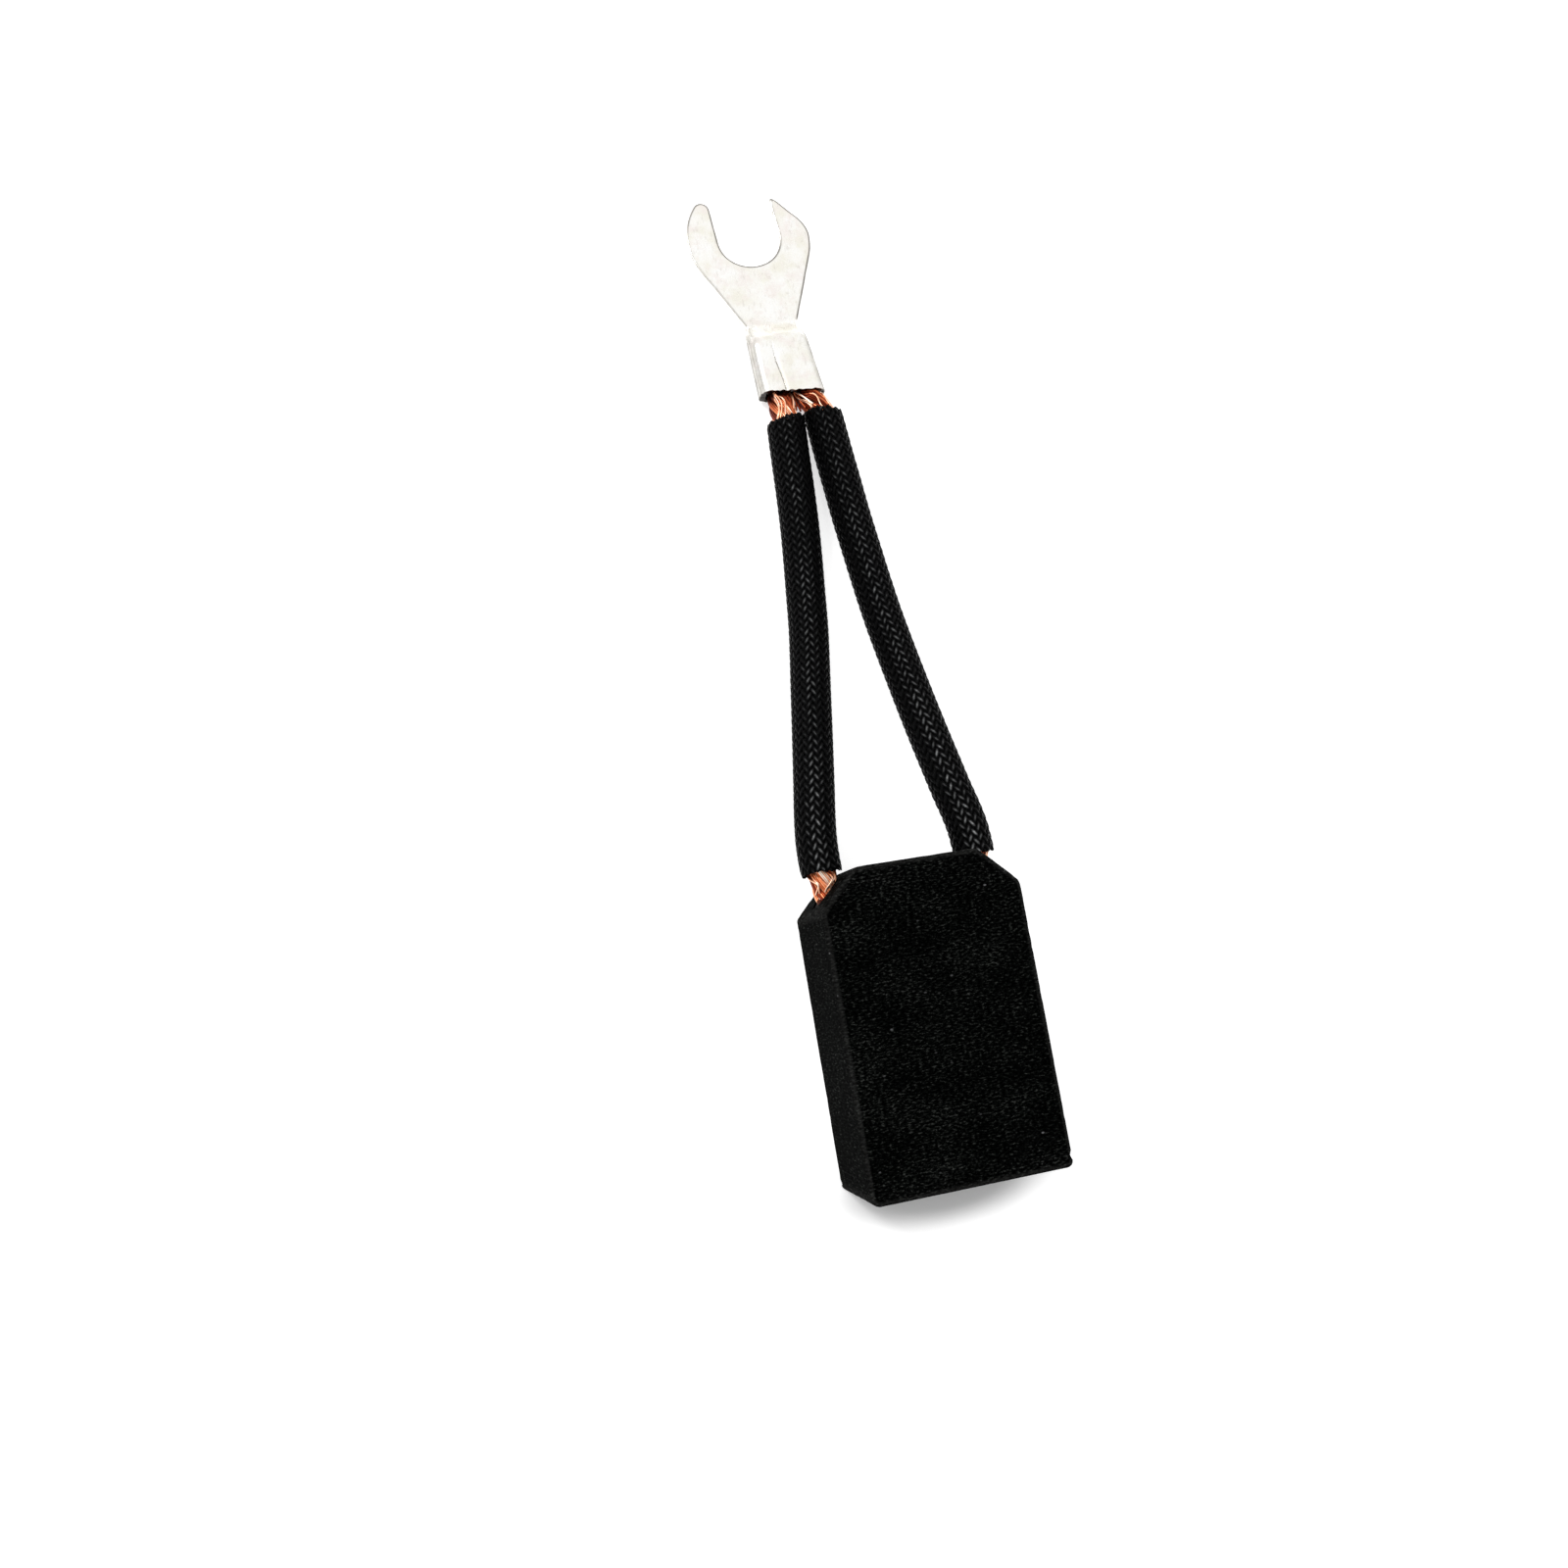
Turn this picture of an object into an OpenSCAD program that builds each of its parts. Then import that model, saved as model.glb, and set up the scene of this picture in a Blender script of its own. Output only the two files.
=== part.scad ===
// Carbon brush with two sleeved flexible leads crimped in one open-fork cable lug.
// The brush lies flat on a wide face: contact face towards -Y, leads and lug towards +Y,
// +Z up. The origin is the middle of the carbon block's underside. Millimetres.

/* [Carbon block] */
// Width of the block, from lead side to lead side
block_width = 32; // [26:1:44]
// Length from the contact face to the top face
block_length = 50; // [34:1:70]
// Thickness of the block
block_thickness = 20; // [14:1:30]
// Leg of the two 45 degree shoulder cuts that carry the leads
shoulder = 6; // [5:0.5:8]
// Small 45 degree break along the block's long edges
edge_break = 0.4; // [0.2:0.1:1]

/* [Lead holes] */
// Distance from the block's side face to the middle of a lead hole's mouth
hole_inset = 3.6; // [3:0.1:5]
// Diameter of a tamped lead hole
hole_diameter = 5.6; // [5.2:0.1:6]
// Depth of a lead hole along its axis
hole_depth = 13; // [8:0.5:18]
// Angle by which a lead hole leans towards the middle of the block
hole_lean = 6; // [0:1:20]
// Full angle of the drill point at the bottom of a lead hole
drill_point = 118; // [90:2:140]
// Depth of the tamped compound's face below the hole's mouth
tamping_recess = 0.4; // [0.2:0.1:1]

/* [Leads] */
// Diameter of one stranded copper lead
lead_diameter = 4.6; // [3.6:0.1:4.9]
// Outside diameter of one braided sleeve
sleeve_diameter = 6.8; // [6:0.1:7]
// Wall of one braided sleeve
sleeve_wall = 0.8; // [0.4:0.1:0.9]

/* [Lug fork] */
// Thickness of the lug's copper sheet
sheet = 1.2; // [0.8:0.1:2]
// Width of the open slot for the terminal stud
slot_width = 11.2; // [8:0.1:12]
// Outside radius of the fork around the slot's round end
fork_radius = 11.1; // [9.5:0.1:14]
// Distance from the crimp's mouth to the centre of the slot's round end
slot_centre = 29.5; // [26:0.1:38]
// Width of the neck between the fork and the crimp
neck_width = 9.2; // [8:0.2:10]
// Distance from the crimp's mouth to the neck
neck_reach = 13.2; // [12:0.1:15]
// Sideways place of the fork from the crimp's middle
fork_shift = 0.45; // [0:0.05:0.6]
// Radius of the rounded prong's tip
tip_radius = 1.5; // [1:0.1:1.8]
// Height of the pointed prong's tip above the slot's centre
point_height = 7.2; // [6:0.1:8]

/* [Lug crimp] */
// Outside width of the crimped barrel
crimp_width = 10.8; // [9:0.1:12]
// Outside height of the crimped barrel
crimp_height = 4.6; // [4.2:0.1:6]
// Length of the crimped barrel
crimp_length = 10.4; // [8:0.1:11]
// Outside corner radius of the crimped barrel
crimp_corner = 1.6; // [1.4:0.1:2]
// Gap between the two folded wings along the seam
seam_gap = 0.3; // [0.2:0.05:0.6]
// Sideways place of the seam from the barrel's middle
seam_offset = -1.8; // [-2:0.1:2]

/* [Placement] */
// Distance from the block's top face to the crimp's mouth
lug_reach = 84.2; // [82:0.1:86]
// Sideways place of the crimp's mouth
lug_shift = -1.8; // [-3:0.1:0]
// Turn of the lug seen from above
lug_turn = 5.5; // [0:0.5:10]

/* [Hidden] */

$fn = 64;
lead_sides = 10;
sleeve_sides = 12;
overcut = 1;
fit_gap = 0.03;

top_y = block_length / 2;
mid_z = block_thickness / 2;
mouth_x = block_width / 2 - hole_inset;
mouth_y = top_y - shoulder + hole_inset;
hole_radius = hole_diameter / 2;
drill_tip = hole_radius / tan(drill_point / 2);
lead_radius = lead_diameter / 2;
embedded_depth = hole_depth - hole_radius / 2;

crimp_inside = crimp_width - 2 * sheet;
crimp_room = crimp_height - 2 * sheet;
inside_corner = max(crimp_corner - sheet, 0.3);
pressed_x = crimp_inside / 4;
pressed_z = crimp_height / 2;
pressed_half = [pressed_x - fit_gap, crimp_room / 2 - fit_gap];
pressed_end = crimp_length - sheet / 2;
flare = 0.3;
flare_reach = 1;

slot_radius = slot_width / 2;
neck_point = [neck_width / 2, neck_reach - slot_centre];
tip_centre = [slot_radius + tip_radius,
              sqrt(pow(fork_radius - tip_radius, 2) - pow(slot_radius + tip_radius, 2))];

// Middle lines of the leads, from sleeve end to sleeve end: x, y from the top face, z.
left_route = [
    [-12.7, 0.3, 10.0], [-12.8, 2.6, 10.0], [-12.7, 5.5, 9.9], [-12.2, 9.5, 9.6],
    [-11.4, 14.0, 9.0], [-10.5, 19.0, 8.2], [-9.5, 24.5, 7.2], [-8.5, 30.0, 6.1],
    [-7.5, 35.5, 5.1], [-6.5, 41.5, 4.2], [-5.8, 47.5, 3.6], [-5.2, 53.5, 3.4],
    [-4.7, 60.0, 3.4], [-4.4, 66.5, 3.4], [-4.2, 72.5, 3.4], [-4.0, 77.6, 3.4]
];
right_route = [
    [12.8, 1.4, 10.0], [12.6, 4.0, 10.0], [12.1, 7.0, 9.8], [11.3, 10.5, 9.5],
    [10.5, 15.0, 8.9], [9.7, 20.0, 8.0], [8.9, 25.5, 7.0], [8.2, 31.0, 5.9],
    [7.5, 36.5, 4.9], [6.8, 42.0, 4.1], [6.1, 48.0, 3.6], [5.4, 54.0, 3.4],
    [4.6, 60.5, 3.4], [4.0, 66.5, 3.4], [3.4, 72.5, 3.4], [2.9, 78.6, 3.4]
];

// A place in the lug's own frame, given in the brush's frame.
function lug_place(p) = [
    lug_shift + p[0] * cos(lug_turn) - p[1] * sin(lug_turn),
    top_y + lug_reach + p[0] * sin(lug_turn) + p[1] * cos(lug_turn),
    p[2]
];

// A place on the axis of a lead hole, at a depth below its mouth.
function hole_place(side, depth) = [
    side * (mouth_x - depth * sin(hole_lean)), mouth_y - depth * cos(hole_lean), mid_z
];

function from_top(route) = [for (p = route) p + [0, top_y, 0]];

// A lead's whole middle line: hole, mouth, free run, crimp.
function lead_path(side, route) = concat(
    [hole_place(side, embedded_depth), hole_place(side, 0)],
    from_top(route),
    [lug_place([side * (pressed_x + flare), -flare_reach, pressed_z]),
     lug_place([side * pressed_x, 0, pressed_z]),
     lug_place([side * pressed_x, pressed_end, pressed_z])]
);

function lead_halves(route) = concat(
    [for (i = [0 : len(route) + 1]) [lead_radius, lead_radius] - [fit_gap, fit_gap]],
    [pressed_half + [flare - fit_gap, fit_gap], pressed_half, pressed_half]
);

// Rings of points square to a path; halves gives each ring's half width and half height.
function heading(path, i) =
    let (a = path[max(i - 1, 0)], b = path[min(i + 1, len(path) - 1)])
    (b - a) / norm(b - a);

function ring(path, i, half, sides) =
    let (t = heading(path, i), s = cross(t, [0, 0, 1]) / norm(cross(t, [0, 0, 1])), u = cross(s, t))
    [for (k = [0 : sides - 1]) path[i] + s * half[0] * cos(360 * k / sides)
                                       + u * half[1] * sin(360 * k / sides)];

// Two triangles for each side between neighbouring rings of points.
function wall_faces(first, rings, sides, flip) = [
    for (i = [0 : rings - 2], k = [0 : sides - 1], half = [0, 1])
        let (a = first + i * sides + k,
             b = first + i * sides + (k + 1) % sides,
             c = b + sides,
             d = a + sides,
             f = half == 0 ? [a, b, c] : [a, c, d])
        flip ? [f[2], f[1], f[0]] : f
];

// Two triangles for each side between two rings of points that lie in one plane.
function end_faces(outer, inner, sides, flip) = [
    for (k = [0 : sides - 1], half = [0, 1])
        let (n = (k + 1) % sides,
             f = half == 0 ? [outer + k, outer + n, inner + n] : [outer + k, inner + n, inner + k])
        flip ? [f[2], f[1], f[0]] : f
];

module swept_bar(path, halves, sides) {
    rings = len(path);
    polyhedron(
        points = [for (i = [0 : rings - 1]) each ring(path, i, halves[i], sides)],
        faces = concat(
            wall_faces(0, rings, sides, true),
            [[for (k = [0 : sides - 1]) k]],
            [[for (k = [sides - 1 : -1 : 0]) (rings - 1) * sides + k]]
        )
    );
}

module swept_tube(path, outside, inside, sides) {
    rings = len(path);
    shell = rings * sides;
    polyhedron(
        points = concat(
            [for (i = [0 : rings - 1]) each ring(path, i, [outside, outside], sides)],
            [for (i = [0 : rings - 1]) each ring(path, i, [inside, inside], sides)]
        ),
        faces = concat(
            wall_faces(0, rings, sides, true),
            wall_faces(shell, rings, sides, false),
            end_faces(0, shell, sides, false),
            end_faces(shell - sides, 2 * shell - sides, sides, true)
        )
    );
}

// A rectangle about the origin whose four corners are cut at 45 degrees.
module broken_rectangle(size, cut) {
    x = size[0] / 2;
    y = size[1] / 2;
    polygon([
        [x, y - cut], [x - cut, y], [cut - x, y], [-x, y - cut],
        [-x, cut - y], [cut - x, -y], [x - cut, -y], [x, cut - y]
    ]);
}

// A rectangle about the origin with round corners.
module round_rectangle(size, corner) {
    square([size[0] - 2 * corner, size[1]], center = true);
    square([size[0], size[1] - 2 * corner], center = true);
    for (x = [-1, 1], y = [-1, 1])
        translate([x * (size[0] / 2 - corner), y * (size[1] / 2 - corner)])
            circle(corner);
}

// The block seen from above: straight contact end, two shoulders at the lead end.
module block_outline() {
    x = block_width / 2;
    polygon([
        [x, edge_break - top_y], [x, top_y - shoulder], [x - shoulder, top_y],
        [shoulder - x, top_y], [-x, top_y - shoulder], [-x, edge_break - top_y],
        [edge_break - x, -top_y], [x - edge_break, -top_y]
    ]);
}

// What stands at a lead hole, along +Z from the bottom of the drilled depth to the mouth.
module at_hole(side) {
    translate(hole_place(side, 0))
        rotate([-90, 0, -side * hole_lean])
            children();
}

module lead_hole(side) {
    at_hole(side) {
        translate([0, 0, -hole_depth])
            cylinder(h = hole_depth + shoulder, r = hole_radius);
        translate([0, 0, -hole_depth - drill_tip])
            cylinder(h = drill_tip, r1 = 0, r2 = hole_radius);
    }
}

module carbon_block() {
    color("#232325")
        difference() {
            intersection() {
                linear_extrude(block_thickness)
                    block_outline();
                translate([0, top_y, mid_z])
                    rotate([90, 0, 0])
                        linear_extrude(block_length)
                            broken_rectangle([block_width, block_thickness], edge_break);
                translate([-block_width / 2, 0, mid_z])
                    rotate([90, 0, 90])
                        linear_extrude(block_width)
                            broken_rectangle([block_length, block_thickness], edge_break);
            }
            lead_hole(-1);
            lead_hole(1);
        }
}

// Compound rammed round the lead: it fills the hole up to a little below the shoulder.
module tamping(side) {
    color("#3a3532")
        difference() {
            intersection() {
                lead_hole(side);
                translate([0, -tamping_recess, 0])
                    linear_extrude(block_thickness)
                        block_outline();
            }
            at_hole(side)
                translate([0, 0, -embedded_depth])
                    cylinder(h = hole_depth + shoulder, r = lead_radius);
        }
}

module lead(side, route) {
    color("#c8723c")
        swept_bar(lead_path(side, route), lead_halves(route), lead_sides);
}

module sleeve(route) {
    color("#18181a")
        swept_tube(from_top(route), sleeve_diameter / 2, sleeve_diameter / 2 - sleeve_wall, sleeve_sides);
}

// Half of the straight-sided stretch between the neck and the fork's round outside.
module fork_flank() {
    far = norm(neck_point);
    turn = atan2(neck_point[1], neck_point[0]) + acos(fork_radius / far);
    polygon([[0, 0], [0, neck_point[1]], neck_point, fork_radius * [cos(turn), sin(turn)]]);
}

// The fork about the centre of its slot's round end, prongs towards +Y.
module fork_outline() {
    tangent = tip_centre * fork_radius / norm(tip_centre);
    reach = 2 * fork_radius;
    difference() {
        union() {
            circle(fork_radius);
            fork_flank();
            mirror([1, 0])
                fork_flank();
        }
        circle(slot_radius);
        translate([-slot_radius, 0])
            square([slot_width, reach]);
        // The left prong stops where its round tip starts
        polygon([[-slot_radius, tip_centre[1]], [-tangent[0], tangent[1]],
                 [-reach, reach], [-slot_radius, reach]]);
        // The right prong is cut off at 45 degrees to a point
        polygon([[slot_radius - overcut, point_height + overcut],
                 [slot_radius + reach, point_height - reach],
                 [slot_radius + reach, reach], [slot_radius - overcut, reach]]);
    }
    translate([-tip_centre[0], tip_centre[1]])
        circle(tip_radius);
}

// The crimped barrel's section, across the lug, standing on the floor.
module crimp_section() {
    translate([0, crimp_height / 2])
        difference() {
            round_rectangle([crimp_width, crimp_height], crimp_corner);
            round_rectangle([crimp_inside, crimp_room], inside_corner);
            translate([seam_offset - seam_gap / 2, 0])
                square([seam_gap, crimp_height]);
            // The wings' edges roll in towards the seam
            translate([seam_offset, crimp_height / 2])
                rotate(45)
                    square(2 * seam_gap, center = true);
        }
}

// The floor and low side walls that lead from the crimp down to the flat neck.
module crimp_ramp() {
    ramp = neck_reach - crimp_length;
    intersection() {
        translate([0, neck_reach, 0])
            rotate([90, 0, 0])
                linear_extrude(ramp)
                    intersection() {
                        translate([0, crimp_height / 2])
                            difference() {
                                round_rectangle([crimp_width, crimp_height], crimp_corner);
                                round_rectangle([crimp_inside, crimp_room], inside_corner);
                            }
                        translate([-crimp_width / 2, 0])
                            square([crimp_width, crimp_height - crimp_corner]);
                    }
        rotate([90, 0, 90])
            translate([0, 0, -crimp_width / 2])
                linear_extrude(crimp_width)
                    polygon([[crimp_length, 0], [neck_reach, 0], [neck_reach, sheet],
                             [crimp_length, crimp_height - crimp_corner]]);
        linear_extrude(crimp_height)
            polygon([[-crimp_width / 2, crimp_length], [crimp_width / 2, crimp_length],
                     [fork_shift + neck_width / 2, neck_reach],
                     [fork_shift - neck_width / 2, neck_reach]]);
    }
}

module fork_lug() {
    color("#d9d6cf")
        translate([lug_shift, top_y + lug_reach, 0])
            rotate([0, 0, lug_turn]) {
                translate([fork_shift, slot_centre, 0])
                    linear_extrude(sheet)
                        fork_outline();
                crimp_ramp();
                translate([0, crimp_length, 0])
                    rotate([90, 0, 0])
                        linear_extrude(crimp_length)
                            crimp_section();
            }
}

carbon_block();
tamping(-1);  // tamping_left
tamping(1);  // tamping_right
lead(-1, left_route);  // lead_left
lead(1, right_route);  // lead_right
sleeve(left_route);  // sleeve_left
sleeve(right_route);  // sleeve_right
fork_lug();
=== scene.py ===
import math

import bmesh
import bpy
import numpy as np
from mathutils import Euler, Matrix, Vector, noise


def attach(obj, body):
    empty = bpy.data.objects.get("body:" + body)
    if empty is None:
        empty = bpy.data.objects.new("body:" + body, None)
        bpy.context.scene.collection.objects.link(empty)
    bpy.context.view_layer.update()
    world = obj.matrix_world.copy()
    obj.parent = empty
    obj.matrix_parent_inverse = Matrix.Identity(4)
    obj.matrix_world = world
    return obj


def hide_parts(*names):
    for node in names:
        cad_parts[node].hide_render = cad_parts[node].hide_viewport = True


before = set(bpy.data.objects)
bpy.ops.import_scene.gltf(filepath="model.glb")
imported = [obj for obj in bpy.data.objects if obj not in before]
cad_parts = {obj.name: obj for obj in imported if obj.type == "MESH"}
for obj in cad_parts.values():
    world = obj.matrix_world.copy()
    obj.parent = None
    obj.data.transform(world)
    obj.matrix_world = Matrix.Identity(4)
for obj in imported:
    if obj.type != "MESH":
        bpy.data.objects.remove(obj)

MM = 0.001
TAU = 2 * math.pi
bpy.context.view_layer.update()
scene = bpy.context.scene
scene.view_settings.view_transform = "Standard"

# Sizes in millimetres and angles in radians, as in the CAD model: the block's top face and
# half its thickness, a lead hole's mouth and lean, the lead, and the lug's place and turn.
TOP_Y = 25.0
MID_Z = 10.0
MOUTH = (12.4, 22.6)
HOLE_LEAN = math.radians(6.0)
EMBEDDED = 11.6
LUG_SHIFT = -1.8
LUG_Y = 109.2
LUG_TURN = math.radians(5.5)

# the lowest that a tube's skin may lie over the floor
ON_FLOOR = 0.02

# the sleeved leads' middle lines: x, y from the block's top face, z
LEFT_ROUTE = [
    (-12.7, 0.3, 10.0), (-12.8, 2.6, 10.0), (-12.7, 5.5, 9.9), (-12.2, 9.5, 9.6),
    (-11.4, 14.0, 9.0), (-10.5, 19.0, 8.2), (-9.5, 24.5, 7.2), (-8.5, 30.0, 6.1),
    (-7.5, 35.5, 5.1), (-6.5, 41.5, 4.2), (-5.8, 47.5, 3.6), (-5.2, 53.5, 3.4),
    (-4.7, 60.0, 3.4), (-4.4, 66.5, 3.4), (-4.2, 72.5, 3.4), (-4.0, 77.6, 3.4),
]
RIGHT_ROUTE = [
    (12.8, 1.4, 10.0), (12.6, 4.0, 10.0), (12.1, 7.0, 9.8), (11.3, 10.5, 9.5),
    (10.5, 15.0, 8.9), (9.7, 20.0, 8.0), (8.9, 25.5, 7.0), (8.2, 31.0, 5.9),
    (7.5, 36.5, 4.9), (6.8, 42.0, 4.1), (6.1, 48.0, 3.6), (5.4, 54.0, 3.4),
    (4.6, 60.5, 3.4), (4.0, 66.5, 3.4), (3.4, 72.5, 3.4), (2.9, 78.6, 3.4),
]


# ---------------------------------------------------------------- camera

def make_camera():
    data = bpy.data.cameras.new("camera")
    data.lens = 31.5
    data.sensor_width = 36.0
    data.clip_start = 0.01
    data.clip_end = 10.0
    cam = bpy.data.objects.new("camera", data)
    cam.location = Vector((-62.4, 12.3, 222.1)) * MM
    cam.rotation_euler = Euler([math.radians(a) for a in (9.32, -10.85, -9.73)], "XYZ")
    scene.collection.objects.link(cam)
    scene.camera = cam


make_camera()


# ---------------------------------------------------------------- curves and frames

def unit(v):
    return v / np.linalg.norm(v, axis=-1, keepdims=True)


def smooth_line(points, step):
    """A centripetal Catmull-Rom line through the points, resampled at an even step."""
    p = np.array(points, float)
    p = np.vstack([2 * p[0] - p[1], p, 2 * p[-1] - p[-2]])
    out = []
    for i in range(1, len(p) - 2):
        a, b, c, d = p[i - 1:i + 3]
        t = [0.0]
        for u, v in ((a, b), (b, c), (c, d)):
            t.append(t[-1] + math.sqrt(np.linalg.norm(v - u)))
        s = np.linspace(t[1], t[2], 24, endpoint=False)[:, None]
        ab = (t[1] - s) / (t[1] - t[0]) * a + (s - t[0]) / (t[1] - t[0]) * b
        bc = (t[2] - s) / (t[2] - t[1]) * b + (s - t[1]) / (t[2] - t[1]) * c
        cd = (t[3] - s) / (t[3] - t[2]) * c + (s - t[2]) / (t[3] - t[2]) * d
        abc = (t[2] - s) / (t[2] - t[0]) * ab + (s - t[0]) / (t[2] - t[0]) * bc
        bcd = (t[3] - s) / (t[3] - t[1]) * bc + (s - t[1]) / (t[3] - t[1]) * cd
        out.append((t[2] - s) / (t[2] - t[1]) * abc + (s - t[1]) / (t[2] - t[1]) * bcd)
    out = np.vstack(out + [p[-2:-1]])
    return resample(out, step)


def resample(line, step):
    run = run_of(line)
    n = max(2, int(round(run[-1] / step)) + 1)
    return sample(line, run, np.linspace(0, run[-1], n))


def run_of(line):
    """The length along a line up to each of its points."""
    return np.concatenate([[0], np.cumsum(np.linalg.norm(np.diff(line, axis=0), axis=1))])


def sample(values, run, at):
    """Vectors that are given at the places run, read off at the places at."""
    return np.stack([np.interp(at, run, values[:, k]) for k in range(3)], axis=1)


def frames(line):
    """Heading, side and up directions along a line that never stands upright."""
    t = unit(np.gradient(line, axis=0))
    s = unit(np.cross(t, [0.0, 0.0, 1.0]))
    return t, s, np.cross(s, t)


def tube_frame(centre, spine):
    """Across and outward directions along a tube that winds round a spine."""
    heading = unit(np.gradient(centre, axis=0))
    across = unit(np.cross(heading, unit(centre - spine)))
    return across, np.cross(across, heading)


# ---------------------------------------------------------------- mesh building

class Builder:
    """Collects closed tubes and pipes into one mesh, with UVs and a tone at each vertex."""

    def __init__(self):
        self.verts, self.faces, self.uvs, self.tones, self.mats = [], [], [], [], []
        self.count = 0

    def tube(self, line, across, out, half_across, half_out, sides, tone=0.5, mat=0):
        """A closed tube whose section is an ellipse spanned by across and out."""
        n = len(line)
        a = np.broadcast_to(np.asarray(half_across, float), (n,))[:, None]
        b = np.broadcast_to(np.asarray(half_out, float), (n,))[:, None]
        first = self.count
        for k in range(sides):
            w = TAU * (k + 0.5) / sides
            ring = line + across * a * math.cos(w) + out * b * math.sin(w)
            ring[:, 2] = np.maximum(ring[:, 2], ON_FLOOR)
            self.verts.append(ring)
        # stored side by side, so vertex (ring i, side k) is first + k * n + i
        run = run_of(line)
        i = np.arange(n - 1)
        for k in range(sides):
            m = (k + 1) % sides
            quad = np.stack([first + k * n + i, first + m * n + i,
                             first + m * n + i + 1, first + k * n + i + 1], axis=1)
            self.faces.extend(quad.tolist())
            u0, u1 = k / sides, (k + 1) / sides
            uv = np.stack([np.full(n - 1, u0), run[:-1], np.full(n - 1, u1), run[:-1],
                           np.full(n - 1, u1), run[1:], np.full(n - 1, u0), run[1:]], axis=1)
            self.uvs.append(uv.reshape(-1))
        self.faces.append([first + k * n for k in reversed(range(sides))])
        self.faces.append([first + k * n + n - 1 for k in range(sides)])
        self.uvs.append(np.tile([0.5, 0.0], sides))
        self.uvs.append(np.tile([0.5, run[-1]], sides))
        self.mats.extend([mat] * ((n - 1) * sides + 2))
        self.tones.append(np.broadcast_to(tone, (sides, n)).reshape(-1))
        self.count += n * sides

    def pipe(self, line, side, up, outer, inner, sides, tone=0.5, mat=0):
        """A closed pipe wall with flat ends."""
        n = len(line)
        first = self.count
        for radius in (outer, inner):
            for k in range(sides):
                w = TAU * k / sides
                self.verts.append(line + side * radius * math.cos(w)
                                  + up * radius * math.sin(w))
        i = np.arange(n - 1)
        shell = n * sides
        for k in range(sides):
            m = (k + 1) % sides
            o = np.stack([first + k * n + i, first + m * n + i,
                          first + m * n + i + 1, first + k * n + i + 1], axis=1)
            self.faces.extend(o.tolist())
            self.faces.extend((o[:, ::-1] + shell).tolist())
            a, b = first + k * n, first + m * n
            self.faces.append([b, a, a + shell, b + shell])
            a, b = a + n - 1, b + n - 1
            self.faces.append([a, b, b + shell, a + shell])
        quads = sides * ((n - 1) * 2 + 2)
        self.uvs.append(np.zeros(quads * 8))
        self.mats.extend([mat] * quads)
        self.tones.append(np.full(n * sides * 2, tone))
        self.count += n * sides * 2

    def finish(self, name, materials):
        mesh = bpy.data.meshes.new(name)
        verts = np.vstack(self.verts) * MM
        mesh.from_pydata(verts.tolist(), [], self.faces)
        uv = mesh.uv_layers.new(name="UVMap")
        uv.data.foreach_set("uv", np.concatenate(self.uvs))
        tone = mesh.attributes.new("tone", "FLOAT", "POINT")
        tone.data.foreach_set("value", np.concatenate(self.tones))
        for m in materials:
            mesh.materials.append(m)
        mesh.polygons.foreach_set("material_index", self.mats)
        mesh.polygons.foreach_set("use_smooth", [True] * len(self.faces))
        mesh.update()
        ob = bpy.data.objects.new(name, mesh)
        scene.collection.objects.link(ob)
        return ob


def skin(bm, rows):
    """Faces between neighbouring closed rows of vertices."""
    for a, b in zip(rows, rows[1:]):
        for k in range(len(a)):
            m = (k + 1) % len(a)
            bm.faces.new((a[k], a[m], b[m], b[k]))


def place_mesh(name, bm, smooth):
    for f in bm.faces:
        f.smooth = smooth
    mesh = bpy.data.meshes.new(name)
    bm.to_mesh(mesh)
    bm.free()
    ob = bpy.data.objects.new(name, mesh)
    scene.collection.objects.link(ob)
    return ob


# ---------------------------------------------------------------- materials

def new_material(name):
    m = bpy.data.materials.new(name)
    m.use_nodes = True
    nodes, links = m.node_tree.nodes, m.node_tree.links
    return m, nodes, links, nodes["Principled BSDF"]


def put(nodes, kind, **values):
    n = nodes.new(kind)
    for k, v in values.items():
        setattr(n, k, v)
    return n


def ramp(nodes, links, source, stops, interpolation="LINEAR"):
    """The colour that a value gives on a row of stops."""
    n = nodes.new("ShaderNodeValToRGB")
    n.color_ramp.interpolation = interpolation
    while len(n.color_ramp.elements) < len(stops):
        n.color_ramp.elements.new(0.5)
    for e, (at, colour) in zip(n.color_ramp.elements, stops):
        e.position = at
        e.color = colour + (1.0,)
    links.new(source, n.inputs["Fac"])
    return n.outputs["Color"]


def grey(v):
    return (v, v, v)


def bump(nodes, links, height, shader, strength, distance):
    b = nodes.new("ShaderNodeBump")
    b.inputs["Strength"].default_value = strength
    b.inputs["Distance"].default_value = distance
    links.new(height, b.inputs["Height"])
    links.new(b.outputs["Normal"], shader.inputs["Normal"])


def scaled(nodes, links, source, scale):
    m = nodes.new("ShaderNodeMapping")
    m.inputs["Scale"].default_value = scale
    links.new(source, m.inputs["Vector"])
    return m.outputs["Vector"]


def noise_at(nodes, links, vector, scale, detail=3.0, rough=0.5):
    n = nodes.new("ShaderNodeTexNoise")
    n.inputs["Scale"].default_value = scale
    n.inputs["Detail"].default_value = detail
    n.inputs["Roughness"].default_value = rough
    links.new(vector, n.inputs["Vector"])
    return n.outputs["Fac"]


def mixed(nodes, links, fac, a, b):
    """Mix of two colours: fac and a are sockets, b is a colour."""
    m = nodes.new("ShaderNodeMix")
    m.data_type = "RGBA"
    sockets = {s.name: s for s in m.inputs if s.enabled}
    links.new(fac, sockets["Factor"])
    links.new(a, sockets["A"])
    sockets["B"].default_value = b + (1.0,)
    return [s for s in m.outputs if s.enabled][0]


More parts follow.
